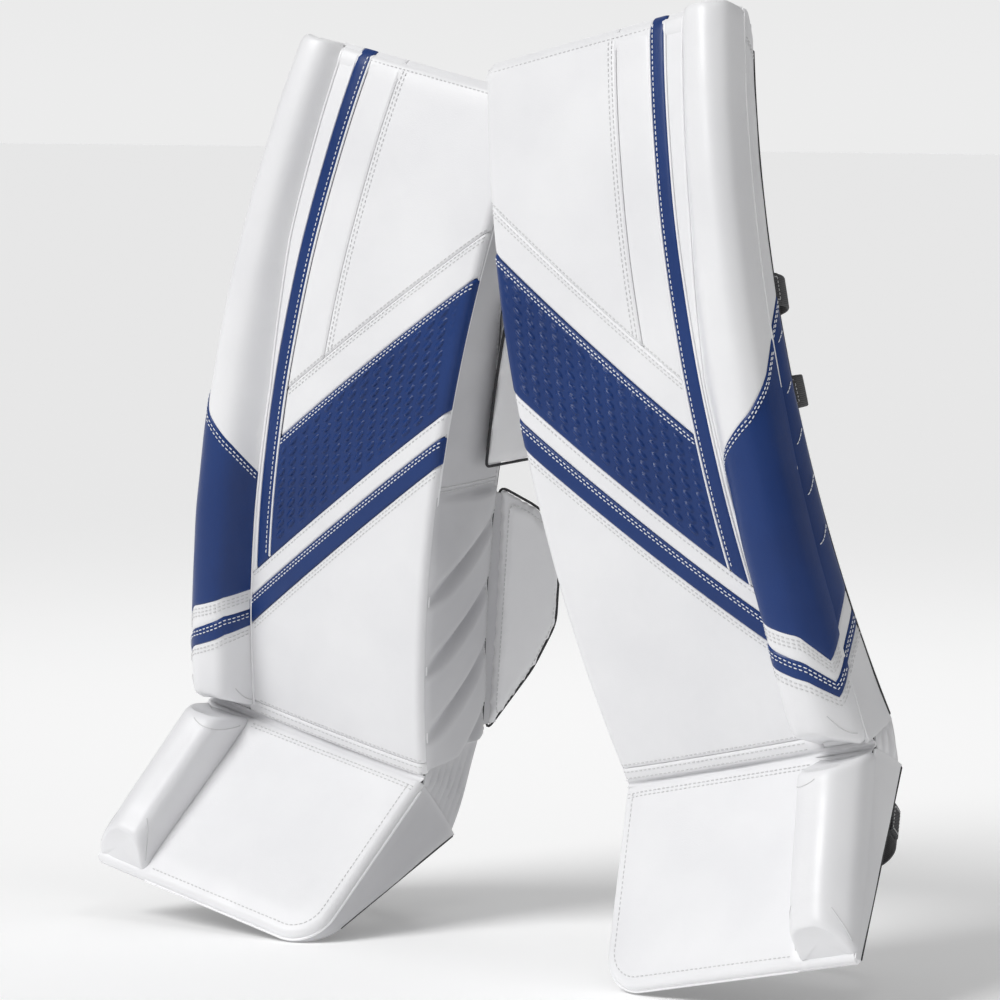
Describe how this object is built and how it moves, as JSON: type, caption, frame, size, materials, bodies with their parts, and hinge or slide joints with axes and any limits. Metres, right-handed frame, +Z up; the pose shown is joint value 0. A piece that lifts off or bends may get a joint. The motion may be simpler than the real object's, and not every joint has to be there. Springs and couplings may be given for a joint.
{
  "type": "goalie leg pads",
  "caption": "Pair of ice-hockey goalie leg pads in a knees-in stance, with curved padded faces, outer rolls, hinged boots, folding calf wings and swinging leg straps.",
  "frame": {"origin": "middle of the left pad's leg channel, on the surface of its knee cradle, where the wearer's leg lies in the pad", "axes": "+Z up, +Y from the pads' faces towards the wearer's leg (out of the channel), +X towards the wearer's left; the faces look towards -Y"},
  "size_m": [0.9099, 0.3359, 0.9077],
  "materials": {
    "core_foam": "closed-cell foam, matte",
    "stiff_board": "plastic sheet, satin",
    "white_skin": "white synthetic leather, satin, fine grain",
    "medial_skin": "white synthetic leather with a low-friction finish, satin",
    "blue_skin": "royal blue synthetic leather, satin, embossed",
    "band_skin": "white and royal blue synthetic leather bands, satin, stitched",
    "liner_fabric": "black ballistic nylon, matte weave",
    "cradle_fabric": "dark grey brushed fabric over foam",
    "webbing": "black nylon webbing, ribbed",
    "strap_elastic": "black elastic strap, ribbed",
    "toe_leather": "black leather lug, matte"
  },
  "bodies": {
    "left_leg": {"left_leg_core": "core_foam", "left_leg_stiffener": "stiff_board", "left_thigh_face": "white_skin", "left_chevron_panel": "blue_skin", "left_band_panel": "band_skin", "left_shin_face": "white_skin", "left_face_stripe": "blue_skin", "left_roll_core": "core_foam", "left_roll_cover": "white_skin", "left_lateral_wall": "white_skin", "left_medial_gusset": "medial_skin", "left_medial_riser": "core_foam", "left_back_liner": "liner_fabric", "left_shin_cradle": "cradle_fabric", "left_knee_cradle": "cradle_fabric", "left_knee_block": "medial_skin", "left_strap_anchors": "webbing"},
    "left_boot": {"left_boot_core": "core_foam", "left_boot_face": "white_skin", "left_boot_roll_core": "core_foam", "left_boot_roll_cover": "white_skin", "left_boot_gusset": "medial_skin", "left_boot_wall": "white_skin", "left_boot_liner": "liner_fabric", "left_toe_bridge": "toe_leather"},
    "left_calf_wing": {"left_calf_wing": "medial_skin"},
    "left_outer_wing": {"left_outer_wing": "medial_skin"},
    "left_knee_strap": {"left_knee_strap": "strap_elastic"},
    "left_calf_strap": {"left_calf_strap": "strap_elastic"},
    "left_boot_strap": {"left_boot_strap": "strap_elastic"},
    "right_leg": {"right_leg_core": "core_foam", "right_leg_stiffener": "stiff_board", "right_thigh_face": "white_skin", "right_chevron_panel": "blue_skin", "right_band_panel": "band_skin", "right_shin_face": "white_skin", "right_face_stripe": "blue_skin", "right_roll_core": "core_foam", "right_roll_cover": "white_skin", "right_lateral_wall": "white_skin", "right_medial_gusset": "medial_skin", "right_medial_riser": "core_foam", "right_back_liner": "liner_fabric", "right_shin_cradle": "cradle_fabric", "right_knee_cradle": "cradle_fabric", "right_knee_block": "medial_skin", "right_strap_anchors": "webbing"},
    "right_boot": {"right_boot_core": "core_foam", "right_boot_face": "white_skin", "right_boot_roll_core": "core_foam", "right_boot_roll_cover": "white_skin", "right_boot_gusset": "medial_skin", "right_boot_wall": "white_skin", "right_boot_liner": "liner_fabric", "right_toe_bridge": "toe_leather"},
    "right_calf_wing": {"right_calf_wing": "medial_skin"},
    "right_outer_wing": {"right_outer_wing": "medial_skin"},
    "right_knee_strap": {"right_knee_strap": "strap_elastic"},
    "right_calf_strap": {"right_calf_strap": "strap_elastic"},
    "right_boot_strap": {"right_boot_strap": "strap_elastic"}
  },
  "joints": [
    {"name": "left_boot_flex", "type": "hinge", "parent": "left_leg", "child": "left_boot", "pos_m": [0.08278, 0.01437, -0.36414], "axis": [-0.9763, 0, -0.2164], "range_deg": [-12, 18]},
    {"name": "left_calf_wing_fold", "type": "hinge", "parent": "left_leg", "child": "left_calf_wing", "pos_m": [-0.08649, 0.07364, -0.2105], "axis": [-0.2122, -0.1977, 0.957], "range_deg": [-75, 40]},
    {"name": "left_outer_wing_fold", "type": "hinge", "parent": "left_leg", "child": "left_outer_wing", "pos_m": [0.168, 0.01385, -0.16643], "axis": [-0.2122, -0.1977, 0.957], "range_deg": [-70, 6]},
    {"name": "left_knee_strap_swing", "type": "hinge", "parent": "left_leg", "child": "left_knee_strap", "pos_m": [0.10042, -0.00585, 0.07146], "axis": [0.2162, -0.0477, -0.9752], "range_deg": [0, 75]},
    {"name": "left_calf_strap_swing", "type": "hinge", "parent": "left_leg", "child": "left_calf_strap", "pos_m": [0.1217, -0.00574, -0.02458], "axis": [0.2162, 0.05, -0.9751], "range_deg": [0, 75]},
    {"name": "left_boot_strap_swing", "type": "hinge", "parent": "left_boot", "child": "left_boot_strap", "pos_m": [0.21616, 0.0336, -0.39519], "axis": [0.1928, -0.454, -0.8699], "range_deg": [0, 75]},
    {"name": "right_boot_flex", "type": "hinge", "parent": "right_leg", "child": "right_boot", "pos_m": [-0.47859, 0.07837, -0.39214], "axis": [-0.9763, 0, 0.2164], "range_deg": [-27, 3]},
    {"name": "right_calf_wing_fold", "type": "hinge", "parent": "right_leg", "child": "right_calf_wing", "pos_m": [-0.30932, 0.13764, -0.2385], "axis": [-0.2122, 0.1977, -0.957], "range_deg": [-75, 40]},
    {"name": "right_outer_wing_fold", "type": "hinge", "parent": "right_leg", "child": "right_outer_wing", "pos_m": [-0.56381, 0.07785, -0.19443], "axis": [-0.2122, 0.1977, -0.957], "range_deg": [-70, 6]},
    {"name": "right_knee_strap_swing", "type": "hinge", "parent": "right_leg", "child": "right_knee_strap", "pos_m": [-0.49623, 0.05815, 0.04346], "axis": [0.2162, 0.0477, 0.9752], "range_deg": [0, 75]},
    {"name": "right_calf_strap_swing", "type": "hinge", "parent": "right_leg", "child": "right_calf_strap", "pos_m": [-0.51752, 0.05826, -0.05258], "axis": [0.2162, -0.05, 0.9751], "range_deg": [0, 75]},
    {"name": "right_boot_strap_swing", "type": "hinge", "parent": "right_boot", "child": "right_boot_strap", "pos_m": [-0.61261, 0.08162, -0.42607], "axis": [0.1608, 0.6691, 0.7255], "range_deg": [0, 75]},
    {"name": "pair_spread", "type": "slide", "parent": "left_leg", "child": "right_leg", "axis": [-1, 0, 0], "range_m": [0, 0.35]}
  ]
}
